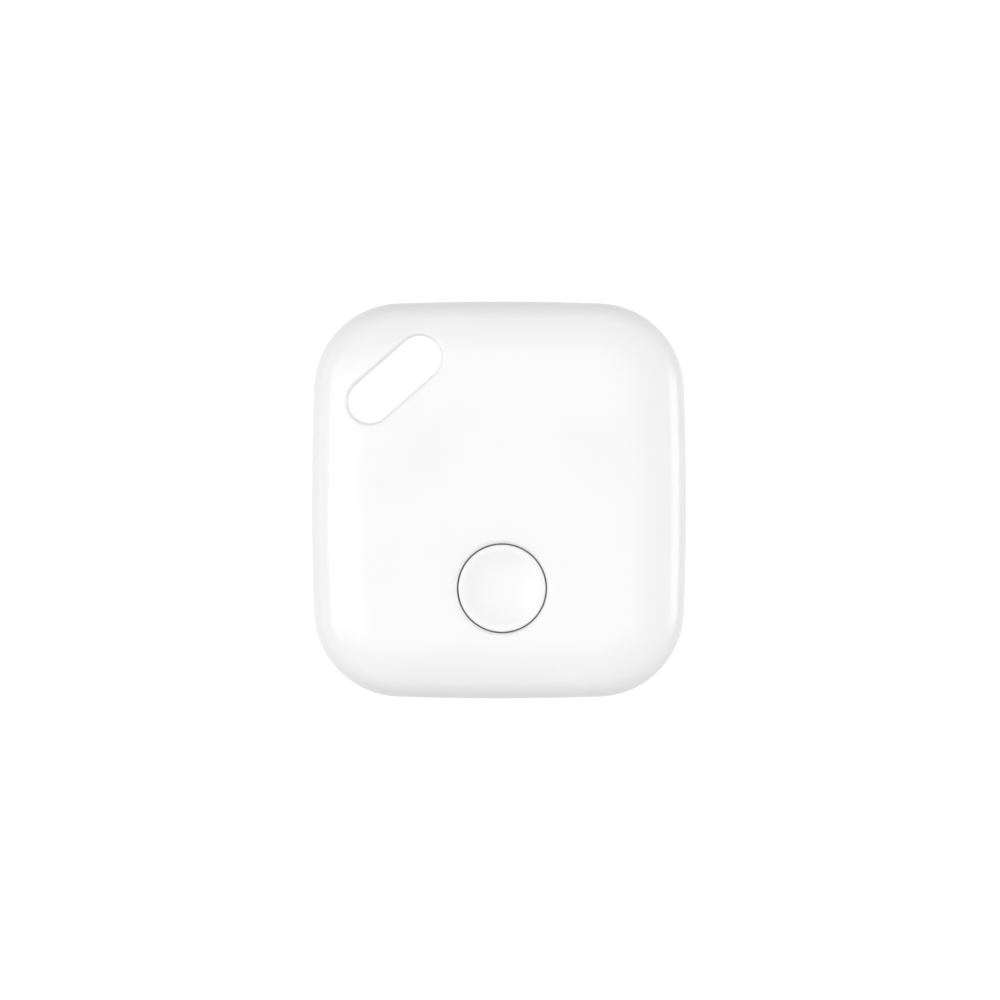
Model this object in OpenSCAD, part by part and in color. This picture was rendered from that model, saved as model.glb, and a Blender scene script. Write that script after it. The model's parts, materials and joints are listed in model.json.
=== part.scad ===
// Bluetooth tracker tag. A white two-shell casing lies flat on its back. It has a key-ring
// slot through one corner, a round push button in the front and a coin cell behind a
// bayonet door in the back.
// Frame: millimetres. The origin is the centre of the back face, +Z points out of the front
// face, +Y points to the slot end and +X to the right as seen from the front.

/* [Casing] */
// Width across the sides
body_w = 37.0; // [37:0.1:37.8]
// Length from the button end to the slot end
body_l = 39.2; // [39.2:0.1:40]
// Thickness from the back face to the front face
body_t = 8.0; // [8:0.05:8.4]
// Plan radius of the four corners
corner_r = 9.0; // [8.8:0.1:9.2]
// Rounding between the front face and the sides
front_edge_r = 2.4; // [2.2:0.1:2.6]
// Distance from the outline at which the front face turns flat
dome_reach = 6.2; // [5.8:0.1:6.6]
// Slope of the front face where the edge rounding begins, degrees
dome_slope = 13; // [10:1:14]
// Rounding between the back face and the sides
back_edge_r = 1.8; // [1.4:0.1:2]
// Thickness of the side walls
wall = 1.2; // [1.1:0.05:1.25]
// Thickness of the front wall at its middle
front_wall = 1.1; // [1:0.05:1.15]
// Thickness of the back wall
back_wall = 1.2; // [1.1:0.05:1.3]
// Height of the parting line between the two covers
parting_z = 2.6; // [2.5:0.05:2.8]

/* [Key-ring slot] */
// Middle of the slot, left of the centre line
slot_x = -10.3; // [-10.6:0.1:-10.2]
// Middle of the slot, above the centre
slot_y = 11.9; // [11.8:0.1:12.2]
// Direction of the slot, degrees up from +X
slot_angle = 41.5; // [40:0.5:43]
// Clear width of the slot
slot_w = 4.2; // [3.8:0.1:4.3]
// Length of the slot, end to end
slot_l = 10.8; // [10.2:0.1:11.2]

/* [Button] */
// Distance of the button right of the centre line
button_x = 0.3; // [0:0.1:0.4]
// Distance of the button below the centre
button_y = -8.7; // [-8.9:0.1:-8.5]
// Radius of the opening in the front cover
button_hole_r = 4.45; // [4.4:0.05:4.6]
// Rounding of the opening's lip
button_lip = 0.3; // [0.15:0.05:0.35]
// Gap all round the cap
button_gap = 0.15; // [0.1:0.01:0.2]
// Depth of the finger dish in the cap
dish_depth = 0.22; // [0.1:0.02:0.3]

/* [Battery] */
// Radius of the coin cell
cell_r = 10.0; // [9.9:0.05:10]
// Height of the coin cell
cell_h = 3.2; // [3.1:0.05:3.2]
// Radius of the door's outer flange
door_r = 12.1; // [12:0.05:12.1]
// Width of the coin slot in the door
coin_slot_w = 1.9; // [1.6:0.1:2.4]

/* [Circuit board] */
// Thickness of the board
board_t = 0.8; // [0.6:0.1:0.8]
// Gap between the board and the side walls
board_gap = 0.35; // [0.3:0.05:0.5]

/* [Buzzer] */
// Radius of the brass plate
buzzer_r = 7.5; // [7:0.1:7.5]
// Radius of the ceramic disc
ceramic_r = 5.0; // [4.5:0.1:5.2]

/* [Hidden] */
$fa = 3;
$fs = 0.25;
cut = 1; // how far a cutting shape runs past the face that it cuts
bite = 0.1; // how far two joined shapes run into each other
slack = 0.05; // gap between parts that fit closely

// Centre of the corner arc in the quarter where X and Y are positive
corner_x = body_w / 2 - corner_r;
corner_y = body_l / 2 - corner_r;

// Heights, from the back face up
ceiling_z = body_t - front_wall;
door_face_z = 0.1;
door_flange_t = 0.7;
door_floor_z = 1.05;
ledge_z = 0.85;
ledge_t = 0.8;
door_neck_z = 2.25;
lug_z = 1.75;
cell_z = door_floor_z + slack;
cell_top = cell_z + cell_h;
board_z = cell_top + 0.5; // room for the springs
board_top = board_z + board_t;
lip_top = 4.2;
dome_r = (dome_reach - front_edge_r * (1 - sin(dome_slope))) / sin(dome_slope);
dome_drop = dome_r * (1 - cos(dome_slope));
edge_z = body_t - dome_drop - front_edge_r * cos(dome_slope);

// Casing details
inner_round = 1.4;
lip_t = 0.8;
snap_depth = 0.25;
snap_z = 3.4;
snap_h = 0.5;
snap_l = 6;
snap_shift = 6.3; // moves two of the snap bars away from the loop
seal_w = 0.6;
seal_h = 0.35;
seal_inset = 0.35;
seal_gap = 0.03;
slot_seal_inset = 0.2;
slot_seal_w = 0.55;
loop_wall = 0.9; // wall between the slot and the space inside the casing
boss_r = 1.4;
screw_r = 0.55;
screw_tip = ceiling_z + 0.1;
screw_spare = 0.15; // depth of the screw hole past the tip
screw_sites = [[12.9, 13.8], [12.9, -13.8], [-12.9, -13.8]];
slot_clear = 12.45; // the board stops at this distance from the middle towards the slot
arc_steps = 6;

// Bayonet door
neck_r = 11.1;
neck_bore_r = 10.2;
ledge_r = 11.2;
door_recess_r = door_r + 0.1;
ledge_collar_r = 13.2;
lug_r = 11.8;
lug_count = 3;
lug_span = 28;
groove_depth = 0.45;
groove_w = 0.6;
groove_z = 1.25; // middle of the groove
door_turn = 40;

// Button stack
cap_r = button_hole_r - button_gap;
cap_top = body_t - 0.05;
cap_bottom = ceiling_z - 0.05;
cap_edge = 0.3;
cap_rim = 0.2; // flat ring between the rounded edge and the dish
pad_r = 4.1;
pad_t = 0.3;
skirt_t = 0.6;
skirt_h = 0.2;
plunger_r = 0.9;
plunger_top = cap_bottom - pad_t - 0.1;
switch_floor_t = 0.15;
switch_w = 4.0;
switch_t = 0.5;
switch_well_r = 1.5;
dome_t = 0.06;
cover_t = 0.08;

// Coin cell
cell_skin = 0.25;
can_top = cell_top - 0.1;
crimp_r = cell_r - 0.8;
lid_r = cell_r - 1.05;
lid_z = cell_z + 1.0;

// Small parts
foil_t = 0.12;
copper_t = 0.05;
spring_t = 0.15;
chip_case = [1.0, 0.5];
end_cap = 0.25;
capacitor_h = 0.5;
resistor_h = 0.35;
peg_at = [8.7, 8.7];
peg_r = 0.45;
frame_l = 8; // negative contact's frame
frame_w = 6;
film_gap = 0.3;
chip_at = [10.2, -5.0];
chip_w = 5;
buzzer_at = [2.0, 6.4];
tape_t = 0.15;
tape_w = 0.9;
silver_t = 0.03;
plate_z = ceiling_z - tape_t - foil_t;
electrode_z = plate_z - foil_t - silver_t;
capacitor_sites = concat(
    [for (i = [0 : 3]) [chip_at[0] + chip_w / 2 + 1.2, chip_at[1] + 3.0 - 1.3 * i, 90]],
    [for (i = [0 : 3]) [chip_at[0] - 2.4 + 1.5 * i, chip_at[1] + chip_w / 2 + 1.0, 0]],
    [for (i = [0 : 2]) [-14.2, -10.2 + 1.3 * i, 0]]
);
resistor_sites = concat(
    [for (i = [0 : 3]) [chip_at[0] - chip_w / 2 - 1.0, chip_at[1] - 1.8 + 1.2 * i, 90]],
    [for (i = [0 : 4]) [-8.2 - 1.4 * i, -3.6, 90]]
);
transistor_sites = [[-14.0, -1.4, 90], [-11.4, -1.4, 90]];

function arc_points(centre, r, from, to, steps = arc_steps) = [
    for (i = [0 : steps])
        let (a = from + (to - from) * i / steps)
        centre + r * [cos(a), sin(a)]
];

// The front face's half profile, from the parting side to the middle: x is the distance from
// the corner centres, y is the height
function front_profile() = concat(
    arc_points([corner_r - front_edge_r, edge_z], front_edge_r, 0, 90 - dome_slope),
    arc_points([corner_r - dome_reach, body_t - dome_r], dome_r, 90 - dome_slope, 90),
    [[0, body_t]]
);

// The back face's half profile, from the middle to the rounded edge
function back_profile() = concat(
    [[0, 0]],
    arc_points([corner_r - back_edge_r, back_edge_r], back_edge_r, -90, 0)
);

// Sweeps a half profile round the whole outline. Its x is counted from the corner centres.
module around() {
    for (sx = [0, 1], sy = [0, 1])
        mirror([sx, 0, 0]) mirror([0, sy, 0]) translate([corner_x, corner_y, 0])
            rotate_extrude(angle = 90) children();
    for (turn = [0, 180])
        rotate([0, 0, turn]) {
            translate([corner_x, corner_y, 0]) rotate([90, 0, 0])
                linear_extrude(2 * corner_y) children();
            translate([-corner_x, corner_y, 0]) rotate([90, 0, 90])
                linear_extrude(2 * corner_x) children();
        }
}

// The middle of a plate, inside the corner centres
module core(z0, z1) {
    translate([-corner_x, -corner_y, z0]) cube([2 * corner_x, 2 * corner_y, z1 - z0]);
}

// A flat band that follows the outline, between two distances in from it
module band(outer_inset, inner_inset, z0, z1) {
    around() translate([corner_r - inner_inset, z0]) square([inner_inset - outer_inset, z1 - z0]);
}

module disc(r, z0, z1) {
    translate([0, 0, z0]) cylinder(r = r, h = z1 - z0);
}

module ring(outer, inner, z0, z1) {
    difference() {
        disc(outer, z0, z1);
        disc(inner, z0 - cut, z1 + cut);
    }
}

// A block with its middle at [x, y] and its foot at z0
module block(x, y, w, l, z0, z1) {
    translate([x - w / 2, y - l / 2, z0]) cube([w, l, z1 - z0]);
}

// Places children on the slot's middle, with the slot along X
module at_slot() {
    translate([slot_x, slot_y, 0]) rotate([0, 0, slot_angle]) children();
}

// The slot's pill shape, grown by a margin
module slot_pill(margin, z0, z1) {
    run = slot_l - slot_w;
    r = slot_w / 2 + margin;
    at_slot() union() {
        translate([-run / 2, -r, z0]) cube([run, 2 * r, z1 - z0]);
        for (s = [-1, 1]) translate([s * run / 2, 0, 0]) disc(r, z0, z1);
    }
}

module slot_ring(outer_margin, inner_margin, z0, z1) {
    difference() {
        slot_pill(outer_margin, z0, z1);
        slot_pill(inner_margin, z0 - cut, z1 + cut);
    }
}

module at_button() {
    translate([button_x, button_y, 0]) children();
}

// Everything on the slot's side of the plane that closes off the space inside the casing
module loop_side(z0, z1) {
    at_slot() translate([-body_l, -slot_w / 2 - loop_wall, z0]) cube([2 * body_l, body_l, z1 - z0]);
}

// A bar on each side, from one distance in from the outline to another
module snap_bars(from_inset, to_inset, z0, z1, l) {
    depth = to_inset - from_inset;
    x = body_w / 2 - from_inset - depth / 2;
    y = body_l / 2 - from_inset - depth / 2;
    block(x, 0, depth, l, z0, z1);
    block(-x, -snap_shift, depth, l, z0, z1);
    block(0, -y, l, depth, z0, z1);
    block(snap_shift, y, l, depth, z0, z1);
}

// ---- Casing ----

// Front shell: domed face, screw bosses and a seat ring for the buzzer
module front_cover() {
    inner_r = corner_r - wall;
    seat_w = 0.6;
    seat_h = 0.4;
    color("white") difference() {
        union() {
            around() polygon(concat(
                [[0, ceiling_z]],
                arc_points([inner_r - inner_round, ceiling_z - inner_round], inner_round, 90, 0, 3),
                [[inner_r, parting_z], [corner_r, parting_z]],
                front_profile()
            ));
            core(ceiling_z, body_t);
            for (p = screw_sites)
                translate(p) disc(boss_r, board_top, ceiling_z + bite);
            translate(buzzer_at)
                ring(buzzer_r + bite + seat_w, buzzer_r + bite, ceiling_z - seat_h, ceiling_z + bite);
        }
        at_button() disc(button_hole_r, ceiling_z - cut, body_t + cut);
        at_button() button_hole_lip();
        for (p = screw_sites)
            translate(p) disc(screw_r + slack, board_top - cut, screw_tip + screw_spare);
        snap_bars(
            wall - snap_depth - slack, wall + cut,
            snap_z - slack, snap_z + snap_h + slack,
            snap_l + 2 * slack
        );
        loop_side(-cut, body_t + cut);
    }
}

// The front moulding's corner, solid because the key ring pulls on it
module front_loop() {
    color("white") difference() {
        intersection() {
            union() {
                around() polygon(concat([[0, parting_z], [corner_r, parting_z]], front_profile()));
                core(parting_z, body_t);
            }
            loop_side(-cut, body_t + cut);
        }
        slot_pill(0, parting_z - cut, body_t + cut);
    }
}

// Rounds the top edge of the button's opening
module button_hole_lip() {
    rotate_extrude() polygon(concat(
        [[button_hole_r - cut, body_t + cut], [button_hole_r - cut, body_t - button_lip]],
        arc_points([button_hole_r + button_lip, body_t - button_lip], button_lip, 180, 90, 4),
        [[button_hole_r + button_lip, body_t + cut]]
    ));
}

// Back shell: flat back, a lip that fits inside the front shell, and the bayonet ledge
module rear_cover() {
    lip_outer = corner_r - wall - slack;
    lip_inner = lip_outer - lip_t;
    color("white") difference() {
        union() {
            around() polygon(concat(
                back_profile(),
                [[corner_r, parting_z], [lip_outer, parting_z], [lip_outer, lip_top],
                 [lip_inner, lip_top], [lip_inner, back_wall], [0, back_wall]]
            ));
            core(0, back_wall);
            disc(ledge_collar_r, back_wall - bite, ledge_z + ledge_t);
            snap_bars(wall - snap_depth, wall + lip_t, snap_z, snap_z + snap_h, snap_l);
        }
        case_groove();
        disc(door_recess_r, -cut, ledge_z);
        disc(ledge_r, -cut, body_t);
        bayonet_notches();
        loop_side(-cut, body_t + cut);
    }
}

// The back moulding's corner, behind front_loop
module rear_loop() {
    color("white") difference() {
        intersection() {
            union() {
                around() polygon(concat(back_profile(), [[corner_r, parting_z], [0, parting_z]]));
                core(0, parting_z);
            }
            loop_side(-cut, body_t + cut);
        }
        slot_pill(0, -cut, parting_z + cut);
        slot_ring(slot_seal_inset + slot_seal_w, slot_seal_inset, parting_z - seal_h, parting_z + cut);
        case_groove();
    }
}

// Groove round the rim for the seal between the covers
module case_groove() {
    band(seal_inset, seal_inset + seal_w, parting_z - seal_h, parting_z + cut);
}

// The three gaps in the ledge that the door's lugs pass through once the door is turned
module bayonet_notches() {
    spare = 2; // degrees at each end of a lug
    from_r = ledge_r - cut;
    to_r = lug_r + 2 * slack;
    for (i = [0 : lug_count - 1])
        rotate([0, 0, 360 / lug_count * i - door_turn - lug_span / 2 - spare])
            rotate_extrude(angle = lug_span + 2 * spare)
                translate([from_r, ledge_z - cut]) square([to_r - from_r, ledge_t + 2 * cut]);
}

module case_seal() {
    color("gainsboro")
        band(seal_inset + seal_gap, seal_inset + seal_w - seal_gap, parting_z - seal_h, parting_z);
}

module slot_seal() {
    inner = slot_seal_inset + seal_gap;
    outer = slot_seal_inset + slot_seal_w - seal_gap;
    color("gainsboro") slot_ring(outer, inner, parting_z - seal_h, parting_z);
}

// ---- Battery door ----

module battery_door() {
    flange_top = door_face_z + door_flange_t;
    lug_root = neck_r - 0.5;
    color("white") difference() {
        union() {
            disc(door_r, door_face_z, flange_top);
            disc(neck_r, flange_top - bite, door_neck_z);
            for (i = [0 : lug_count - 1])
                rotate([0, 0, 360 / lug_count * i - lug_span / 2])
                    rotate_extrude(angle = lug_span)
                        translate([lug_root, lug_z]) square([lug_r - lug_root, door_neck_z - lug_z]);
        }
        disc(neck_bore_r, door_floor_z, door_neck_z + cut);
        ring(neck_r + cut, neck_r - groove_depth, groove_z - groove_w / 2, groove_z + groove_w / 2);
        coin_slot();
    }
}

// Round-ended groove across the door, for a coin's edge
module coin_slot() {
    run = 12;
    depth = 0.55;
    union() {
        block(0, 0, run, coin_slot_w, door_face_z - cut, door_face_z + depth);
        for (s = [-1, 1])
            translate([s * run / 2, 0, 0]) disc(coin_slot_w / 2, door_face_z - cut, door_face_z + depth);
    }
}

module door_seal() {
    cord_r = 0.25;
    color("gray") rotate_extrude()
        translate([neck_r - groove_depth + cord_r + 0.01, groove_z]) circle(cord_r);
}

// ---- Button ----

// Round cap with a rounded edge and a shallow dish for the fingertip
module button_cap() {
    dish_half = cap_r - cap_edge - cap_rim;
    dish_r = (dish_half ^ 2 + dish_depth ^ 2) / (2 * dish_depth);
    dish_sweep = asin(dish_half / dish_r);
    color("white") at_button() rotate_extrude() polygon(concat(
        [[0, cap_bottom], [cap_r, cap_bottom]],
        arc_points([cap_r - cap_edge, cap_top - cap_edge], cap_edge, 0, 90, 4),
        arc_points([0, cap_top - dish_depth + dish_r], dish_r, dish_sweep - 90, -90)
    ));
}

// Silicone pad under the cap, with the nub that reaches the switch
module button_pad() {
    color("gainsboro") at_button() union() {
        disc(pad_r, cap_bottom - pad_t, cap_bottom);
        ring(pad_r, pad_r - skirt_t, cap_bottom - pad_t - skirt_h, cap_bottom - pad_t + bite);
        disc(plunger_r, plunger_top, cap_bottom - pad_t + bite);
    }
}

// Thin conical web that seals the opening and carries the pad
module button_membrane() {
    web = 0.12;
    root = button_hole_r + 0.7;
    rim = root + 1.0; // glued under the ceiling from the root to here
    inner = pad_r + slack;
    high = ceiling_z - 0.25;
    low = cap_bottom - pad_t - skirt_h;
    color("gainsboro") at_button() rotate_extrude() polygon([
        [rim, ceiling_z], [root, ceiling_z], [root, high + web], [inner + 0.3, low + 2 * web],
        [inner, low + 2 * web], [inner, low], [inner + 0.4, low], [root + 0.1, high], [rim, high]
    ]);
}

// ---- Tactile switch ----

module switch_base() {
    color("dimgray") at_button() difference() {
        block(0, 0, switch_w, switch_w, board_top, board_top + switch_t);
        disc(switch_well_r, board_top + switch_floor_t, board_top + switch_t + cut);
    }
}

module switch_terminals() {
    reach = 0.7;
    width = 0.6;
    apart = 2.6;
    color("silver") at_button()
        for (sx = [-1, 1], sy = [-1, 1])
            block(sx * (switch_w + reach) / 2, sy * apart / 2, reach, width, board_top, board_top + foil_t);
}

// Domed steel snap disc
module switch_dome() {
    foot = board_top + switch_floor_t;
    rise = switch_t - switch_floor_t - dome_t;
    half = switch_well_r - slack;
    r = (half ^ 2 + rise ^ 2) / (2 * rise);
    color("silver") at_button() translate([0, 0, foot + rise - r]) intersection() {
        difference() {
            sphere(r + dome_t);
            sphere(r);
        }
        disc(half, r - rise, r + cut);
    }
}

module switch_cover() {
    color("silver") at_button() difference() {
        block(0, 0, switch_w, switch_w, board_top + switch_t, board_top + switch_t + cover_t);
        disc(plunger_r + slack, board_top, board_top + switch_t + cut);
    }
}

module switch_plunger() {
    color("dimgray") at_button() disc(plunger_r, board_top + switch_t, plunger_top);
}

// ---- Circuit board ----

module circuit_board() {
    inset = wall + board_gap;
    color("seagreen") difference() {
        union() {
            around() translate([0, board_z]) square([corner_r - inset, board_t]);
            core(board_z, board_top);
        }
        rotate([0, 0, slot_angle]) translate([-body_w, slot_clear, 0]) cube([2 * body_w, body_w, body_t]);
        for (p = screw_sites) translate(p) disc(screw_r + 2 * bite, 0, body_t);
        for (s = [-1, 1]) translate(s * peg_at) disc(peg_r + slack, 0, body_t);
    }
}

// Screws that hold the board against the front cover's bosses
module board_screws() {
    head_r = 1.1;
    head_h = 0.45;
    cross_l = 1.3;
    cross_w = 0.28;
    cross_depth = 0.22;
    color("silver") for (p = screw_sites) translate(p) difference() {
        union() {
            disc(head_r, board_z - head_h, board_z);
            disc(screw_r, board_z - bite, screw_tip);
        }
        for (a = [0, 90]) rotate([0, 0, a])
            block(0, 0, cross_l, cross_w, board_z - head_h - cut, board_z - head_h + cross_depth);
    }
}

// Folded printed antenna along the end of the board, beside the slot
module antenna_trace() {
    left = 2.0;
    track = 0.35;
    pitch = 1.2;
    folds = 8;
    low = 14.5;
    high = 16.9;
    top = board_top + copper_t;
    color("goldenrod") for (i = [0 : folds - 1]) {
        x = left + i * pitch;
        y = i % 2 == 0 ? high : low;
        block(x, (low + high) / 2, track, high - low + track, board_top, top);
        if (i < folds - 1) block(x + pitch / 2, y, pitch - track, track, board_top, top);
    }
}

// Round gold pads for the factory test, under the board
module test_pads() {
    first = [-13.6, -7.5];
    pitch = 2.2;
    count = 6;
    pad = 0.7;
    color("gold") for (i = [0 : count - 1])
        translate(first + [0, pitch * i]) disc(pad, board_z - copper_t, board_z);
}

module bluetooth_chip() {
    top = board_top + 0.75;
    dimple_r = 0.3;
    dimple_depth = 0.05;
    color("darkslategray") difference() {
        block(chip_at[0], chip_at[1], chip_w, chip_w, board_top, top);
        translate(chip_at + [-1.8, 1.8]) disc(dimple_r, top - dimple_depth, top + cut);
    }
}

module main_crystal() {
    crystal(chip_at + [0, -4.6], 2.5, 2.0);
}

module clock_crystal() {
    crystal(chip_at + [4.6, -3.6], 1.2, 2.0);
}

// Ceramic tub with a smaller metal lid
module crystal(at, w, l) {
    tub_t = 0.4;
    lid_t = 0.1;
    edge = 0.15;
    color("lightgray") union() {
        block(at[0], at[1], w, l, board_top, board_top + tub_t);
        block(at[0], at[1], w - 2 * edge, l - 2 * edge, board_top + tub_t - bite, board_top + tub_t + lid_t);
    }
}

// Wound inductor: two flanges round a core
module inductor() {
    w = 3;
    h = 0.8;
    flange_t = 0.2;
    core_r = 1.0;
    color("dimgray") translate([-11.2, -7.6, 0]) union() {
        for (z = [board_top, board_top + h - flange_t]) block(0, 0, w, w, z, z + flange_t);
        disc(core_r, board_top + bite, board_top + h - bite);
    }
}

// Places an 0402 part at each site, turned as the site says
module at_sites(sites) {
    for (s = sites) translate([s[0], s[1], 0]) rotate([0, 0, s[2]]) children();
}

module chip_middle(h) {
    block(0, 0, chip_case[0] - 2 * end_cap, chip_case[1] - 0.02, board_top, board_top + h - 0.01);
}

module chip_ends(h) {
    for (s = [-1, 1])
        block(s * (chip_case[0] - end_cap) / 2, 0, end_cap, chip_case[1], board_top, board_top + h);
}

module capacitors() {
    color("tan") at_sites(capacitor_sites) chip_middle(capacitor_h);
}

module resistors() {
    color("black") at_sites(resistor_sites) chip_middle(resistor_h);
}

module component_terminals() {
    color("silver") {
        at_sites(capacitor_sites) chip_ends(capacitor_h);
        at_sites(resistor_sites) chip_ends(resistor_h);
    }
}

module transistors() {
    case = [1.6, 1.2, 0.55];
    color("black") at_sites(transistor_sites)
        block(0, 0, case[0], case[1], board_top, board_top + case[2]);
}

// ---- Buzzer ----

module piezo_adhesive() {
    color("black") translate(buzzer_at) ring(buzzer_r, buzzer_r - tape_w, ceiling_z - tape_t, ceiling_z);
}

module piezo_plate() {
    color("goldenrod") translate(buzzer_at) disc(buzzer_r, plate_z, plate_z + foil_t);
}

module piezo_ceramic() {
    color("ivory") translate(buzzer_at) disc(ceramic_r, plate_z - foil_t, plate_z);
}

module piezo_electrode() {
    color("silver") translate(buzzer_at) disc(ceramic_r - 0.4, electrode_z, plate_z - foil_t);
}

// Two leaf springs, one to the brass plate and one to the silver electrode
module piezo_contacts() {
    color("gold") {
        leaf_spring(buzzer_at + [buzzer_r - 1.2, -2.0], plate_z);
        leaf_spring(buzzer_at + [-1.0, 0.5], electrode_z);
    }
}

// A foot on the board and a leaf that rises along -X to touch the height given
module leaf_spring(tip, touch_z) {
    leaf = 0.1;
    run = 2.6;
    width = 0.9;
    foot = 1.0;
    climb = asin((touch_z - board_top - leaf * 1.1) / run);
    translate([tip[0], tip[1], 0]) union() {
        block(run, 0, foot, width, board_top, board_top + leaf);
        translate([run, -width / 2, board_top]) rotate([0, climb, 0])
            translate([-run, 0, 0]) cube([run, width, leaf]);
    }
}

// ---- Battery ----

// Plastic ring that centres the cell, pegged to the board
module cell_holder() {
    holder_r = 11.5;
    foot = 2.4;
    head = board_z - 0.02;
    pad = [peg_r + 0.8, 1.4]; // radius and height of the shoulder under each peg
    window = [3.5, 3.8]; // opening for the positive contact
    window_z = 2.8;
    color("dimgray") difference() {
        union() {
            disc(holder_r, foot, head);
            for (s = [-1, 1]) translate(s * peg_at) {
                disc(pad[0], board_z - pad[1], head);
                disc(peg_r, head - bite, board_top + bite);
            }
        }
        disc(cell_r + 0.2, foot - cut, board_z + cut);
        block(cell_r + 0.75, 0, window[0], window[1], window_z, board_z + cut);
    }
}

module cell_can() {
    color("silver") difference() {
        disc(cell_r, cell_z, can_top);
        disc(cell_r - cell_skin, cell_z + cell_skin, can_top - cell_skin);
        disc(crimp_r, cell_z + cell_h / 2, cell_top + cut);
    }
}

// Nylon ring between the can and the lid
module cell_gasket() {
    color("white") union() {
        ring(cell_r - cell_skin, crimp_r, cell_z + cell_skin, can_top - cell_skin);
        ring(crimp_r, lid_r, lid_z, cell_top - slack);
    }
}

module cell_lid() {
    color("silver") difference() {
        disc(lid_r, lid_z, cell_top);
        disc(lid_r - cell_skin, cell_z, cell_top - cell_skin);
    }
}

// The cell's filling, taken as one solid: manganese pellet, separator and lithium disc
module cell_core() {
    color("black") union() {
        disc(crimp_r, cell_z + cell_skin, lid_z);
        disc(lid_r - cell_skin, lid_z - bite, cell_top - cell_skin);
    }
}

// Film under the board, open in the middle for the contact
module cell_insulator() {
    color("khaki") difference() {
        disc(cell_r - 0.1, board_z - 0.08, board_z);
        block(0, 0, frame_l + 2 * film_gap, frame_w + 2 * film_gap, 0, body_t);
        block(cell_r, 0, 3, 4, 0, body_t);
    }
}

// Spring frame with two tongues that press on the cell's lid
module negative_contact() {
    tongue_l = 4.4;
    tongue_w = 1.3;
    window = [6.8, 4];
    dip = asin((board_z - spring_t - cell_top - 0.005) / tongue_l);
    color("gold") union() {
        difference() {
            block(0, 0, frame_l, frame_w, board_z - spring_t, board_z);
            block(0, 0, window[0], window[1], 0, body_t);
        }
        for (s = [0, 180]) rotate([0, 0, s])
            translate([-window[0] / 2 - bite, 0.3, board_z - spring_t]) rotate([0, dip, 0])
                cube([tongue_l, tongue_w, spring_t]);
    }
}

// Clip soldered beside the holder: its finger presses on the side of the cell
module positive_contact() {
    leg_x = 11.75;
    width = 3;
    foot = 3.2;
    low = 2.95;
    lean = 30;
    finger = (leg_x + spring_t - cell_r - 0.02) / cos(lean);
    color("gold") union() {
        block(leg_x + foot / 2, 0, foot, width, board_z - spring_t, board_z);
        block(leg_x + spring_t / 2, 0, spring_t, width, low, board_z - spring_t / 2);
        translate([leg_x + spring_t, width / 2, low]) rotate([0, -lean, 180])
            cube([finger, width, spring_t]);
    }
}

front_cover();
front_loop();
rear_cover();
rear_loop();
case_seal();
slot_seal();
battery_door();
door_seal();
button_cap();
button_pad();
button_membrane();
switch_base();
switch_terminals();
switch_dome();
switch_cover();
switch_plunger();
circuit_board();
board_screws();
antenna_trace();
test_pads();
bluetooth_chip();
main_crystal();
clock_crystal();
inductor();
capacitors();
resistors();
transistors();
component_terminals();
piezo_adhesive();
piezo_plate();
piezo_ceramic();
piezo_electrode();
piezo_contacts();
cell_holder();
cell_insulator();
positive_contact();
negative_contact();
cell_can();
cell_lid();
cell_gasket();
cell_core();
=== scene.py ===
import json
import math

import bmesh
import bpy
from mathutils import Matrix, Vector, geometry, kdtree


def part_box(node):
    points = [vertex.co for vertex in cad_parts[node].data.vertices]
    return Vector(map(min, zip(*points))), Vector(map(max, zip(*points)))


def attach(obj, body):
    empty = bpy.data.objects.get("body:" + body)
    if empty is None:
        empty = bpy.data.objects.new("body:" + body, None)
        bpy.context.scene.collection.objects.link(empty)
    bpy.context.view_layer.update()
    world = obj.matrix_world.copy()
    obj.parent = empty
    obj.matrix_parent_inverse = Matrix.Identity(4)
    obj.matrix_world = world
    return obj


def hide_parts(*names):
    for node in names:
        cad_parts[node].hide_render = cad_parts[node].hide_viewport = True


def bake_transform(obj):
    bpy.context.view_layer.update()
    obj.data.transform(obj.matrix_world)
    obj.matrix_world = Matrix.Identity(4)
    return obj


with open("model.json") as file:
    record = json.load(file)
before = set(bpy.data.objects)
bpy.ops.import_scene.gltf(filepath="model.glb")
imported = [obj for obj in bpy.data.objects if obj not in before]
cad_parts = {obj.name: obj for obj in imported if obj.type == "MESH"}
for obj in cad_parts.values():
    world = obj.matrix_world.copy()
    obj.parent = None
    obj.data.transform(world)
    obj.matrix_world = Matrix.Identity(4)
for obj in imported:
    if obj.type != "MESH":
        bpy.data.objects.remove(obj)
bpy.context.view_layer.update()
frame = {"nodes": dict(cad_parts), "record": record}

# Bluetooth tracker tag: the looks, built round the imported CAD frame.
# The two covers, the battery door, the button cap, and the two parts that bend with the button
# are finer meshes that replace their CAD nodes. Every other piece is its CAD node with a
# procedural material. Lengths and heights are in millimetres unless a comment says otherwise,
# and become metres where a mesh is made.

MM = 0.001
WELD = 1e-7               # vertices closer than this, in metres, are one
SHARP_ANGLE = 35.0        # edges that bend more than this stay sharp, degrees
ROUND_COUNT = 96          # points round the circles of the button and the buzzer


def box_mm(node):
    """A CAD node's lowest and highest corners, in millimetres."""
    low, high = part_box(node)
    return low / MM, high / MM


# ---------------------------------------------------------------- dimensions

FRONT_LO, FRONT_HI = box_mm("front_cover")
CAP_LO, CAP_HI = box_mm("button_cap")
DOOR_LO, DOOR_HI = box_mm("battery_door")

WIDTH = FRONT_HI.x - FRONT_LO.x
LENGTH = FRONT_HI.y - FRONT_LO.y
TOP_Z = FRONT_HI.z
PARTING_Z = FRONT_LO.z
LIP_TOP_Z = box_mm("rear_cover")[1].z
BOARD_TOP_Z = box_mm("circuit_board")[1].z
CELL_BOTTOM_Z = box_mm("cell_can")[0].z

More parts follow.
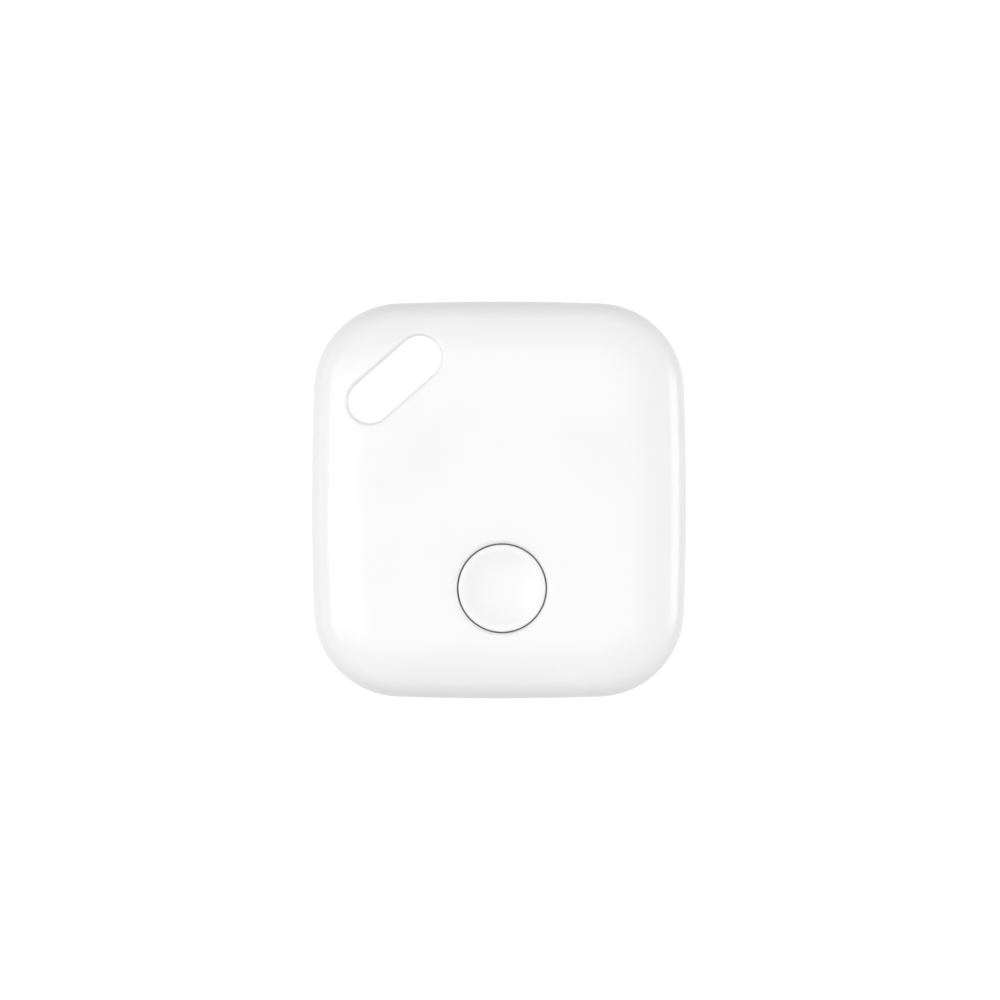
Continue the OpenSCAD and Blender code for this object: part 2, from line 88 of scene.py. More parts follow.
CORNER_R = 8.6            # plan radius of the corners
BOW_R = 280.0             # plan radius of the bowed sides and ends
FRONT_EDGE_R = 2.4        # rounding between the front face and the sides
DOME_REACH = 6.2          # how far in from the outline the face turns flat
DOME_SLOPE = 13.0         # slope of the face where the edge rounding begins, degrees
BACK_EDGE_R = 1.8
WALL = 1.2
FRONT_WALL = 1.1
BACK_WALL = 1.2
INNER_ROUND = 0.6
SEAM = 0.08               # rounding of both covers' edges at the parting line

LIP_GAP = 0.05            # between the rear cover's lip and the front cover's walls
LIP_T = 0.8
SEAL_INSET = 0.35         # from the outline to the groove for the case's seal
SEAL_W = 0.6
SEAL_H = 0.35
SLOT_SEAL_INSET = 0.2     # from the slot to the groove for its own seal
SLOT_SEAL_W = 0.55

SLOT_MOUNT = next(m for m in frame["record"]["mounts"] if m["name"] == "keyring_slot")
SLOT_AT = [c / MM for c in SLOT_MOUNT["pos_m"]]
SLOT_ANGLE = 41.5
SLOT_W = 4.2
SLOT_L = 10.8
SLOT_LIP = 0.3
SLOT_DRAFT = 0.1          # how much further apart the slot's walls are at both faces
LOOP_WALL = 0.9           # wall between the slot and the space inside the casing

BUTTON_X = (CAP_LO.x + CAP_HI.x) / 2
BUTTON_Y = (CAP_LO.y + CAP_HI.y) / 2
CAP_R = (CAP_HI.x - CAP_LO.x) / 2
BUTTON_GAP = 0.12
HOLE_R = CAP_R + BUTTON_GAP
HOLE_LIP = 0.35
CAP_EDGE = 0.15
CAP_RIM = 0.35            # flat ring between the rounded edge and the dish
DISH_DEPTH = 0.3

DOOR_R = 12.1
DOOR_FACE_Z = DOOR_LO.z
NECK_TOP_Z = DOOR_HI.z

BOSS_R = 1.4              # screw bosses
SCREW_HOLE_R = 0.57
BUZZER_LEDGE_H = 0.4      # ring round the buzzer's plate, down from the ceiling
BUZZER_LEDGE_W = 0.6
BUZZER_GAP = 0.1
OVERLAP = 0.1             # how far a boss, ring or lip runs into the wall it stands on

# The face is a dome that meets the edge rounding at the dome's slope, with no kink.
CEILING_Z = TOP_Z - FRONT_WALL
SLOPE_SIN = math.sin(math.radians(DOME_SLOPE))
SLOPE_COS = math.cos(math.radians(DOME_SLOPE))
EDGE_REACH = FRONT_EDGE_R * (1 - SLOPE_SIN)
DOME_R = (DOME_REACH - EDGE_REACH) / SLOPE_SIN
EDGE_Z = TOP_Z - DOME_R * (1 - SLOPE_COS) - FRONT_EDGE_R * SLOPE_COS


def arc(centre, radius, start, end, steps):
    """Points on an arc, angles in degrees."""
    angles = [math.radians(start + (end - start) * i / steps) for i in range(steps + 1)]
    return [(centre[0] + radius * math.cos(a), centre[1] + radius * math.sin(a)) for a in angles]


# ---------------------------------------------------------------- plan shapes

class Outline:
    """The casing's plan: four corner arcs, each tangent to a bowed side and a bowed end."""

    CORNER_STEPS = 30
    SIDE_STEPS = 30

    def __init__(self, width, length, corner_r, bow_r):
        self.corner_r = corner_r
        self.bow_r = bow_r
        self.bow_x = bow_r - width / 2
        self.bow_y = bow_r - length / 2
        apart = math.hypot(self.bow_x, self.bow_y)
        rise = math.sqrt((bow_r - corner_r) ** 2 - (apart / 2) ** 2)
        self.corner_x = -self.bow_x / 2 + rise * self.bow_y / apart
        self.corner_y = -self.bow_y / 2 + rise * self.bow_x / apart
        self.side_sweep = math.degrees(math.atan2(self.corner_y, self.corner_x + self.bow_x))
        self.end_sweep = math.degrees(math.atan2(self.corner_x, self.corner_y + self.bow_y))

    def ring(self, inset):
        """Points round the outline, moved in by a distance. Every ring has the same count."""
        small = self.corner_r - inset
        large = self.bow_r - inset
        corner = arc((self.corner_x, self.corner_y), small, self.side_sweep, 90 - self.end_sweep,
                     self.CORNER_STEPS)
        side = arc((-self.bow_x, 0), large, 0, self.side_sweep, self.SIDE_STEPS // 2)
        end = arc((0, -self.bow_y), large, 90 - self.end_sweep, 90, self.SIDE_STEPS // 2)
        quarter = side[:-1] + corner[:-1] + end
        half = quarter[:-1] + [(-x, y) for x, y in reversed(quarter)]
        return half[:-1] + [(x, -y) for x, y in reversed(half)][:-1]

    def inset_at(self, x, y):
        """How far a point inside is from the outline."""
        x, y = abs(x), abs(y)
        turn = math.degrees(math.atan2(y - self.corner_y, x - self.corner_x))
        if x > self.corner_x and y > self.corner_y and self.side_sweep < turn < 90 - self.end_sweep:
            return self.corner_r - math.hypot(x - self.corner_x, y - self.corner_y)
        return min(self.bow_r - math.hypot(x + self.bow_x, y), self.bow_r - math.hypot(x, y + self.bow_y))


OUTLINE = Outline(WIDTH, LENGTH, CORNER_R, BOW_R)


def circle_ring(centre, radius, count):
    return [(centre[0] + radius * math.cos(2 * math.pi * i / count),
             centre[1] + radius * math.sin(2 * math.pi * i / count)) for i in range(count)]


def pill_ring(centre, angle, length, width, margin, end_steps=20, run_steps=14):
    """A round-ended slot's edge, grown by a margin."""
    run = (length - width) / 2
    radius = width / 2 + margin
    points = []
    for side in (1, -1):
        points += arc((side * run, 0), radius, -90 * side, 90 * side if side > 0 else 270, end_steps)[:-1]
        for i in range(run_steps):
            points.append((side * run * (1 - 2 * i / run_steps), side * radius))
    turn = math.radians(angle)
    return [(centre[0] + x * math.cos(turn) - y * math.sin(turn),
             centre[1] + x * math.sin(turn) + y * math.cos(turn)) for x, y in points]


def slot_ring(margin):
    return pill_ring(SLOT_AT, SLOT_ANGLE, SLOT_L, SLOT_W, margin)


def drafted_slot_ring(margin):
    """The slot's edge where its walls reach the front or back face."""
    return slot_ring(SLOT_DRAFT + margin)


def past_loop_plane(x, y):
    """How far a point lies on the slot's side of the plane that closes off the inside."""
    turn = math.radians(SLOT_ANGLE)
    return ((y - SLOT_AT[1]) * math.cos(turn) - (x - SLOT_AT[0]) * math.sin(turn)
            + SLOT_W / 2 + LOOP_WALL)


def cavity_ring(inset):
    """The outline moved in by a distance, cut off straight by the loop plane."""
    turn = math.radians(SLOT_ANGLE)
    points = []
    for x, y in OUTLINE.ring(inset):
        over = max(past_loop_plane(x, y), 0)
        points.append((x + over * math.sin(turn), y - over * math.cos(turn)))
    return points


# ---------------------------------------------------------------- mesh building

class Skin:
    """A closed surface made of rings joined by quads, and of fields of triangles between rings."""

    def __init__(self):
        self.points = []
        self.faces = []

    def ring(self, plan, height):
        """Adds a ring. The height is a number, or a function of x and y."""
        first = len(self.points)
        for x, y in plan:
            self.points.append((x, y, height(x, y) if callable(height) else height))
        return list(range(first, len(self.points)))

    def bridge(self, a, b):
        for i in range(len(a)):
            j = (i + 1) % len(a)
            self.faces.append((a[i], a[j], b[j], b[i]))

    def stack(self, rings):
        for a, b in zip(rings, rings[1:]):
            self.bridge(a, b)

    def cap(self, ring):
        self.faces.append(tuple(ring))

    def field(self, outer, holes, height, candidates, gap=0.3):
        """Fills the space inside one ring and outside others, through the candidate points that
        are at least a gap away from every ring."""
        loops = [outer, *holes]
        plan = [[self.points[i][:2] for i in loop] for loop in loops]
        near = kdtree.KDTree(sum(len(p) for p in plan))
        for n, (x, y) in enumerate(p for loop in plan for p in loop):
            near.insert((x, y, 0), n)
        near.balance()
        ids = [i for loop in loops for i in loop]
        edges = []
        start = 0
        for loop in loops:
            edges += [(start + i, start + (i + 1) % len(loop)) for i in range(len(loop))]
            start += len(loop)

        def wanted(x, y):
            return inside(plan[0], x, y) and not any(inside(p, x, y) for p in plan[1:])

        for x, y in candidates:
            if near.find((x, y, 0))[2] > gap and wanted(x, y):
                ids.append(len(self.points))
                self.points.append((x, y, height(x, y) if callable(height) else height))
        flat = [Vector(self.points[i][:2]) for i in ids]
        made = geometry.delaunay_2d_cdt(flat, edges, [], 0, 1e-9)
        source = [origins[0] for origins in made[3]]
        for face in made[2]:
            corners = [ids[source[v]] for v in face]
            middle = [sum(self.points[v][k] for v in corners) / len(corners) for k in (0, 1)]
            if wanted(*middle):
                self.faces.append(tuple(corners))

    def tube(self, centre, outer_r, inner_r, z0, z1, count=32):
        """Adds a closed tube."""
        rings = [self.ring(circle_ring(centre, r, count), z)
                 for r, z in ((outer_r, z0), (outer_r, z1), (inner_r, z1), (inner_r, z0))]
        self.stack(rings + rings[:1])

    def bar(self, rows):
        """Adds a closed bar swept through cross-sections, given as rows of 3-D points."""
        ids = []
        for row in rows:
            ids.append(list(range(len(self.points), len(self.points) + len(row))))
            self.points += row
        self.stack(ids)
        self.cap(ids[0])
        self.cap(ids[-1])

    def build(self, name):
        mesh = bpy.data.meshes.new(name)
        mesh.from_pydata([(x * MM, y * MM, z * MM) for x, y, z in self.points], [], self.faces)
        work = bmesh.new()
        work.from_mesh(mesh)
        bmesh.ops.remove_doubles(work, verts=work.verts, dist=WELD)
        bmesh.ops.recalc_face_normals(work, faces=work.faces)
        work.to_mesh(mesh)
        work.free()
        mesh.polygons.foreach_set("use_smooth", [True] * len(mesh.polygons))
        mesh.set_sharp_from_angle(angle=math.radians(SHARP_ANGLE))
        piece = bpy.data.objects.new(name, mesh)
        bpy.context.scene.collection.objects.link(piece)
        return piece


def inside(loop, x, y):
    """True if a point is inside a closed loop of points."""
    odd = False
    x0, y0 = loop[-1]
    for x1, y1 in loop:
        if (y0 > y) != (y1 > y) and x < (x1 - x0) * (y - y0) / (y1 - y0) + x0:
            odd = not odd
        x0, y0 = x1, y1
    return odd


def grid(pitch):
    """Points of a triangular grid over the whole plan."""
    row_share = 0.866     # a row's spacing, as a share of the pitch
    rows = int(LENGTH / pitch / row_share) // 2 + 1
    cols = int(WIDTH / pitch) // 2 + 1
    return [((c + 0.5 * (r % 2)) * pitch, r * pitch * row_share)
            for r in range(-rows, rows + 1) for c in range(-cols, cols + 1)]


# ---------------------------------------------------------------- front cover

def face_height(x, y):
    """The front face's height: flat in the middle, then a gentle dome, then the edge rounding."""
    inset = OUTLINE.inset_at(x, y)
    if inset >= DOME_REACH:
        return TOP_Z
    if inset >= EDGE_REACH:
        return TOP_Z - DOME_R + math.sqrt(DOME_R ** 2 - (DOME_REACH - inset) ** 2)
    return EDGE_Z + math.sqrt(max(FRONT_EDGE_R ** 2 - (FRONT_EDGE_R - inset) ** 2, 0))


def below_face(x, y, drop):
    """The height of a point that is a drop below the front face."""
    return face_height(x, y) - drop


def lip_rings(skin, ring_at, lip, height, steps=6):
    """Rings into a rounded lip, from where it meets a face to where it turns upright."""
    rings = []
    for i in range(steps + 1):
        turn = math.pi / 2 * i / steps
        margin = lip * (1 - math.sin(turn))
        depth = lip * (1 - math.cos(turn))
        rings.append(skin.ring(ring_at(margin), lambda x, y: height(x, y, depth)))
    return rings


def hole_ring(margin):
    return circle_ring((BUTTON_X, BUTTON_Y), HOLE_R + margin, ROUND_COUNT)


def make_front_cover():
    skin = Skin()
    # outside, from the parting line up the side and round the edge
    profile = [(SEAM, PARTING_Z), (SEAM * 0.3, PARTING_Z + SEAM * 0.3), (0, PARTING_Z + SEAM)]
    profile += [(0, PARTING_Z + (EDGE_Z - PARTING_Z) * k) for k in (0.35, 0.7)]
    profile += [(FRONT_EDGE_R - x, EDGE_Z + y) for x, y in
                arc((0, 0), FRONT_EDGE_R, 0, 90 - DOME_SLOPE, 14)]
    outside = [skin.ring(OUTLINE.ring(inset), z) for inset, z in profile]
    skin.stack(outside)
    # the slot and the button's opening, each with a rounded lip
    slot = lip_rings(skin, drafted_slot_ring, SLOT_LIP, below_face)
    slot.append(skin.ring(slot_ring(0), PARTING_Z + SEAM))
    slot.append(skin.ring(slot_ring(SEAM), PARTING_Z))
    skin.stack(slot)
    hole = lip_rings(skin, hole_ring, HOLE_LIP, below_face)
    hole.append(skin.ring(hole_ring(0), CEILING_Z))
    skin.stack(hole)
    # the domed face between them
    rings = 10
    dome = [p for i in range(1, rings + 1)
            for p in OUTLINE.ring(EDGE_REACH + (DOME_REACH - EDGE_REACH) * i / rings)]
    flat = [p for p in grid(1.0) if OUTLINE.inset_at(*p) > DOME_REACH + 0.4]
    beside_slot = [p for margin in (0.3, 0.65) for p in drafted_slot_ring(SLOT_LIP + margin)]
    skin.field(outside[-1], [slot[0], hole[0]], face_height, beside_slot + dome + flat, gap=0.22)
    # inside: the walls, the ceiling, and the flat rim that meets the rear cover
    profile = [(WALL, PARTING_Z), (WALL, CEILING_Z - INNER_ROUND)]
    profile += [(WALL + INNER_ROUND - x, CEILING_Z - INNER_ROUND + y)
                for x, y in arc((0, 0), INNER_ROUND, 0, 90, 6)[1:]]
    inner = [skin.ring(cavity_ring(inset), z) for inset, z in profile]
    skin.stack(inner)
    skin.field(inner[-1], [hole[-1]], CEILING_Z, grid(2.0))
    skin.field(outside[0], [slot[-1], inner[0]], PARTING_Z, grid(1.5))
    # screw bosses and the buzzer's seat
    for low, high in node_islands("board_screws"):
        middle = ((low.x + high.x) / 2, (low.y + high.y) / 2)
        skin.tube(middle, BOSS_R, SCREW_HOLE_R, BOARD_TOP_Z, CEILING_Z + OVERLAP)
    plate_lo, plate_hi = box_mm("piezo_plate")
    middle = ((plate_lo.x + plate_hi.x) / 2, (plate_lo.y + plate_hi.y) / 2)
    seat_r = (plate_hi.x - plate_lo.x) / 2 + BUZZER_GAP
    skin.tube(middle, seat_r + BUZZER_LEDGE_W, seat_r, CEILING_Z - BUZZER_LEDGE_H, CEILING_Z + OVERLAP,
              ROUND_COUNT)
    return skin.build("front_shell")


def node_islands(node):
    """The boxes, in millimetres, of a CAD node's separate solids."""
    work = bmesh.new()
    work.from_mesh(frame["nodes"][node].data)
    bmesh.ops.remove_doubles(work, verts=work.verts, dist=WELD)
    left = set(work.verts)
    boxes = []
    while left:
        seed = left.pop()
        island = {seed}
        queue = [seed]
        while queue:
            for edge in queue.pop().link_edges:
                for v in edge.verts:
                    if v in left:
                        left.discard(v)
                        island.add(v)
                        queue.append(v)
        low = Vector([min(v.co[k] for v in island) / MM for k in range(3)])
        high = Vector([max(v.co[k] for v in island) / MM for k in range(3)])
        boxes.append((low, high))
    work.free()
    return sorted(boxes, key=lambda b: tuple(round(c, 3) for c in b[0]))


# ---------------------------------------------------------------- rear cover

RECESS_R = DOOR_R + 0.1
RECESS_LIP = 0.15
LEDGE_R = 11.2
LEDGE_Z = 0.85
LEDGE_T = 0.8
LEDGE_COLLAR_R = 12.7
LUG_R = 11.8
LUG_COUNT = 3
LUG_SPAN = 28.0           # degrees
NOTCH_R = LUG_R + 0.1
NOTCH_SPARE = 2.0         # degrees that a notch is longer than its lug at each end
DOOR_TURN = 40.0          # from locked to where the lugs meet the notches, degrees
DOOR_COUNT = 180          # points round the door's circles
MARK_TURN = 90.0          # direction of the door's mark when the door is closed, degrees
MARK_DEPTH = 0.12
CASE_MARK_R = 13.6        # distance of the casing's marks from the door's axis
DOOR_MARK_R = 10.7
# Each mark's profile: radii from its own middle, and how deep each one is.
DOT_MARK = ((0.45, 0), (0.38, MARK_DEPTH))
RING_MARK = ((0.5, 0), (0.44, MARK_DEPTH), (0.31, MARK_DEPTH), (0.25, 0))


def door_ring(radius):
    return circle_ring((0, 0), radius, DOOR_COUNT)


def recess_ring(margin):
    return door_ring(RECESS_R + margin)


def moulded_mark(skin, turn, distance, profile, face_z):
    """Adds a small mark sunk into the back, and gives its rim for the face to meet."""
    middle = (distance * math.cos(math.radians(turn)), distance * math.sin(math.radians(turn)))
    rings = [skin.ring(circle_ring(middle, r, 32), face_z + depth) for r, depth in profile]
    skin.stack(rings)
    skin.cap(rings[-1])
    return rings[0]


def above_back(x, y, rise):
    """The height of a point that is a rise above the back face, which is at height 0."""
    return rise


def ledge_ring():
    """The ledge's inner edge, with a notch for each lug to pass through."""
    points = []
    half_pitch = 180 / LUG_COUNT
    for i in range(DOOR_COUNT):
        turn = 360 * i / DOOR_COUNT
        from_notch = (turn + DOOR_TURN + half_pitch) % (2 * half_pitch) - half_pitch
        radius = NOTCH_R if abs(from_notch) < LUG_SPAN / 2 + NOTCH_SPARE else LEDGE_R
        points.append((radius * math.cos(math.radians(turn)), radius * math.sin(math.radians(turn))))
    return points


def make_rear_cover():
    skin = Skin()
    lip_out = WALL + LIP_GAP
    lip_in = lip_out + LIP_T
    # outside, from the back face round the edge and over the rim with its seal groove
    profile = [(BACK_EDGE_R - x, BACK_EDGE_R - y) for x, y in arc((0, 0), BACK_EDGE_R, 90, 0, 12)]
    profile += [(0, PARTING_Z - SEAM), (SEAM * 0.3, PARTING_Z - SEAM * 0.3), (SEAM, PARTING_Z),
                (SEAL_INSET, PARTING_Z), (SEAL_INSET, PARTING_Z - SEAL_H),
                (SEAL_INSET + SEAL_W, PARTING_Z - SEAL_H), (SEAL_INSET + SEAL_W, PARTING_Z)]
    shell = [skin.ring(OUTLINE.ring(inset), z) for inset, z in profile]
    skin.stack(shell)
    # the slot, with a groove for its seal
    slot = lip_rings(skin, drafted_slot_ring, SLOT_LIP, above_back)
    groove_end = SLOT_SEAL_INSET + SLOT_SEAL_W
    for margin, z in ((0, PARTING_Z - SEAM), (SEAM, PARTING_Z),
                      (SLOT_SEAL_INSET, PARTING_Z), (SLOT_SEAL_INSET, PARTING_Z - SEAL_H),
                      (groove_end, PARTING_Z - SEAL_H), (groove_end, PARTING_Z)):
        slot.append(skin.ring(slot_ring(margin), z))
    skin.stack(slot)
    inner = [skin.ring(cavity_ring(lip_in), z) for z in (PARTING_Z, BACK_WALL)]
    skin.stack(inner)
    skin.field(shell[-1], [slot[-1], inner[0]], PARTING_Z, grid(1.5), gap=0.15)
    # the door's recess and the ledge that its lugs lock behind
    recess = lip_rings(skin, recess_ring, RECESS_LIP, above_back, steps=4)
    recess.append(skin.ring(recess_ring(0), LEDGE_Z))
    recess.append(skin.ring(ledge_ring(), LEDGE_Z))
    recess.append(skin.ring(ledge_ring(), LEDGE_Z + LEDGE_T))
    recess.append(skin.ring(door_ring(LEDGE_COLLAR_R), LEDGE_Z + LEDGE_T))
    recess.append(skin.ring(door_ring(LEDGE_COLLAR_R), BACK_WALL))
    skin.stack(recess)
    # the marks that the door's dot points to: a dot for closed and a ring for open
    marks = [moulded_mark(skin, MARK_TURN, CASE_MARK_R, DOT_MARK, 0.0),
             moulded_mark(skin, MARK_TURN - DOOR_TURN, CASE_MARK_R, RING_MARK, 0.0)]
    skin.field(shell[0], [slot[0], recess[0], *marks], 0.0, grid(1.5))
    skin.field(inner[-1], [recess[-1]], BACK_WALL, grid(2.5), gap=0.05)
    # the lip that fits inside the front cover, from one side of the loop round to the other
    low = PARTING_Z - OVERLAP
    rows = [[(*out, low), (*out, LIP_TOP_Z), (*back, LIP_TOP_Z), (*back, low)]
            for out, back in zip(OUTLINE.ring(lip_out), OUTLINE.ring(lip_in))
            if past_loop_plane(*out) < -LIP_GAP]
    start = next(i for i in range(len(rows))
                 if math.dist(rows[i][0][:2], rows[i - 1][0][:2]) > SLOT_L / 2)
    skin.bar(rows[start:] + rows[:start])
    return skin.build("back_shell")


# ---------------------------------------------------------------- battery door

COIN_SLOT_W = 1.9
COIN_SLOT_L = 12.0 + COIN_SLOT_W
COIN_SLOT_DEPTH = 0.55
COIN_SLOT_LIP = 0.12
FLANGE_TOP_Z = DOOR_FACE_Z + 0.7
NECK_R = 11.1
NECK_BORE_R = 10.2
DOOR_FLOOR_Z = CELL_BOTTOM_Z - 0.05
LUG_LOW_Z = 1.75
LUG_TOP_Z = NECK_TOP_Z - 0.02
LUG_RAMP = 0.15           # rise of a lug's underside at its ends
LUG_ROOT = 0.3            # how far a lug reaches into the neck
GROOVE_Z = (0.95, 1.55)   # groove for the door's seal
GROOVE_DEPTH = 0.45
CHAMFER = 0.1


def coin_slot_ring(margin):
    return pill_ring((0, 0), 0, COIN_SLOT_L, COIN_SLOT_W, margin, end_steps=16, run_steps=24)


def above_door_face(x, y, rise):
    return DOOR_FACE_Z + rise


def make_battery_door():
    skin = Skin()
    # outside, from the door's face round the flange, up the neck and down its bore to the floor
    edge = 0.2
    profile = [(DOOR_R - edge + x, DOOR_FACE_Z + edge - y) for x, y in arc((0, 0), edge, 90, 0, 5)]
    profile += [(DOOR_R, FLANGE_TOP_Z - CHAMFER / 2), (DOOR_R - CHAMFER / 2, FLANGE_TOP_Z),
                (NECK_R, FLANGE_TOP_Z),
                (NECK_R, GROOVE_Z[0]), (NECK_R - GROOVE_DEPTH, GROOVE_Z[0]),
                (NECK_R - GROOVE_DEPTH, GROOVE_Z[1]), (NECK_R, GROOVE_Z[1]),
                (NECK_R, NECK_TOP_Z - CHAMFER), (NECK_R - CHAMFER, NECK_TOP_Z),
                (NECK_BORE_R + CHAMFER, NECK_TOP_Z), (NECK_BORE_R, NECK_TOP_Z - CHAMFER),
                (NECK_BORE_R, DOOR_FLOOR_Z)]
    shell = [skin.ring(door_ring(r), z) for r, z in profile]
    skin.stack(shell)
    # the coin slot and the mark in the door's face
    floor_z = DOOR_FACE_Z + COIN_SLOT_DEPTH
    slot = lip_rings(skin, coin_slot_ring, COIN_SLOT_LIP, above_door_face, steps=4)
    slot.append(skin.ring(coin_slot_ring(0), floor_z - CHAMFER))
    slot.append(skin.ring(coin_slot_ring(-CHAMFER), floor_z))
    skin.stack(slot)
    skin.field(slot[-1], [], floor_z, [])
    mark = moulded_mark(skin, MARK_TURN, DOOR_MARK_R, DOT_MARK, DOOR_FACE_Z)
    skin.field(shell[0], [slot[0], mark], DOOR_FACE_Z, grid(1.5))
    skin.field(shell[-1], [], DOOR_FLOOR_Z, grid(2.5))
    for i in range(LUG_COUNT):
        lug(skin, 360 / LUG_COUNT * i)
    return skin.build("door_moulding")


def lug(skin, turn):
    """One bayonet lug: a curved bar on the neck, with a ramp over a share of it at both ends."""
    steps, ramp_share = 10, 1 / 8
    root = NECK_R - LUG_ROOT
    rows = []
    for i in range(steps + 1):
        share = i / steps
        angle = math.radians(turn + LUG_SPAN * (share - 0.5))
        low = LUG_LOW_Z + LUG_RAMP * max(0, 1 - min(share, 1 - share) / ramp_share)
        section = ((root, low), (LUG_R, low), (LUG_R, LUG_TOP_Z), (root, LUG_TOP_Z))
        rows.append([(r * math.cos(angle), r * math.sin(angle), z) for r, z in section])
    skin.bar(rows)


# ---------------------------------------------------------------- button cap

def make_button_cap():
    """A round cap: a rounded edge, a narrow rim, then a shallow dish for the fingertip."""
    skin = Skin()
    dish_half = CAP_R - CAP_EDGE - CAP_RIM
    sphere_r = (dish_half ** 2 + DISH_DEPTH ** 2) / (2 * DISH_DEPTH)
    dish_steps = 15
    profile = [(CAP_R - CHAMFER / 2, CAP_LO.z), (CAP_R, CAP_LO.z + CHAMFER / 2)]
    profile += [(CAP_R - CAP_EDGE + x, CAP_HI.z - CAP_EDGE + y) for x, y in arc((0, 0), CAP_EDGE, 0, 90, 8)]
    for i in range(dish_steps):
        radius = dish_half * (1 - i / dish_steps)
        height = sphere_r - math.sqrt(sphere_r ** 2 - radius ** 2)
        profile.append((radius, CAP_HI.z - DISH_DEPTH + height))
    rings = [skin.ring(circle_ring((BUTTON_X, BUTTON_Y), r, ROUND_COUNT), z) for r, z in profile]
    skin.stack(rings)
    skin.cap(rings[0])
    skin.points.append((BUTTON_X, BUTTON_Y, CAP_HI.z - DISH_DEPTH))
    middle = len(skin.points) - 1
    last = rings[-1]
    for i in range(len(last)):
        skin.faces.append((last[i], last[(i + 1) % len(last)], middle))
    return skin.build("button_moulding")


# ---------------------------------------------------------------- parts that bend with the button

WEB_T = 0.12              # thickness of the rubber web round the button's pad
WEB_RIM_W = 1.0           # the thicker rim that is held in the casing
WEB_RIM_H = 0.25
WEB_FOOT_W = 0.3          # the thicker foot beside the pad
WEB_LAG = 0.1             # how much further out the underside bends than the top
PAD_GAP = 0.05
DOME_SHEET = 0.06         # thickness of the snap dome's steel


def make_membrane():
    """The thin web between the casing and the button, with smooth bends at both ends."""
    skin = Skin()
    pad_lo, pad_hi = box_mm("button_pad")
    web_lo, web_hi = box_mm("button_membrane")
    inner = (pad_hi.x - pad_lo.x) / 2 + PAD_GAP
    rim = (web_hi.x - web_lo.x) / 2
    root = rim - WEB_RIM_W
    foot = inner + WEB_FOOT_W
    low, high = web_lo.z, web_hi.z - WEB_RIM_H
    profile = [(rim, web_hi.z), (root, web_hi.z)]
    profile += s_bend((root, high + WEB_T), (foot, low + 2 * WEB_T))
    profile += [(inner, low + 2 * WEB_T), (inner, low)]
    profile += s_bend((foot + WEB_LAG, low), (root + WEB_LAG, high))
    profile.append((rim, high))
    rings = [skin.ring(circle_ring((BUTTON_X, BUTTON_Y), r, ROUND_COUNT), z) for r, z in profile]
    skin.stack(rings + rings[:1])
    return skin.build("membrane_web")


def s_bend(start, end):
    """Points from one radius and height to another, level at both ends."""
    steps = 8
    points = []
    for i in range(steps + 1):
        share = i / steps
        ease = share * share * (3 - 2 * share)
        points.append((start[0] + (end[0] - start[0]) * share, start[1] + (end[1] - start[1]) * ease))
    return points


def make_switch_dome():
    """The domed steel disc that snaps under the button's nub."""
    skin = Skin()
    low, high = box_mm("switch_dome")
    radius = (high.x - low.x) / 2
    steps, middle_r = 12, 0.02
    rise = high.z - low.z - DOME_SHEET
    sphere_r = (radius ** 2 + rise ** 2) / (2 * rise)
    over, under = [], []
    for i in range(steps + 1):
        r = radius * (1 - i / steps)
        drop = sphere_r - math.sqrt(sphere_r ** 2 - r ** 2)
        over.append((r, high.z - drop))
        under.append((r, high.z - DOME_SHEET - drop))
    rings = [skin.ring(circle_ring((BUTTON_X, BUTTON_Y), max(r, middle_r), ROUND_COUNT // 2), max(z, low.z))
             for r, z in under[::-1] + over]
    skin.stack(rings)
    skin.cap(rings[0])
    skin.cap(rings[-1])
    return skin.build("snap_dome")


# ---------------------------------------------------------------- materials

PATTERN_LOW = 0.3         # most of a noise pattern lies between these two values
PATTERN_HIGH = 0.7
WEAVE_SCALE = 700         # threads of the board's glass weave about 0.45 mm apart


def new_material(name, colour, roughness, metallic=0.0, **sockets):
    """A principled material. Values that are the same all over are set on the shader's sockets."""
    mat = bpy.data.materials.new(name)
    mat.use_nodes = True
    shader = mat.node_tree.nodes["Principled BSDF"]
    shader.inputs["Base Color"].default_value = (*colour, 1)
    shader.inputs["Roughness"].default_value = roughness
    shader.inputs["Metallic"].default_value = metallic
    for socket, value in sockets.items():
        shader.inputs[socket.replace("_", " ")].default_value = value
    return mat


def add_math(tree, operation, *values):
    """Adds a node for one sum, on numbers or node outputs, and gives its result."""
    node = tree.nodes.new("ShaderNodeMath")
    node.operation = operation
    for slot, value in zip(node.inputs, values):
        if isinstance(value, (int, float)):
            slot.default_value = value
        else:
            tree.links.new(value, slot)
    return node.outputs["Value"]


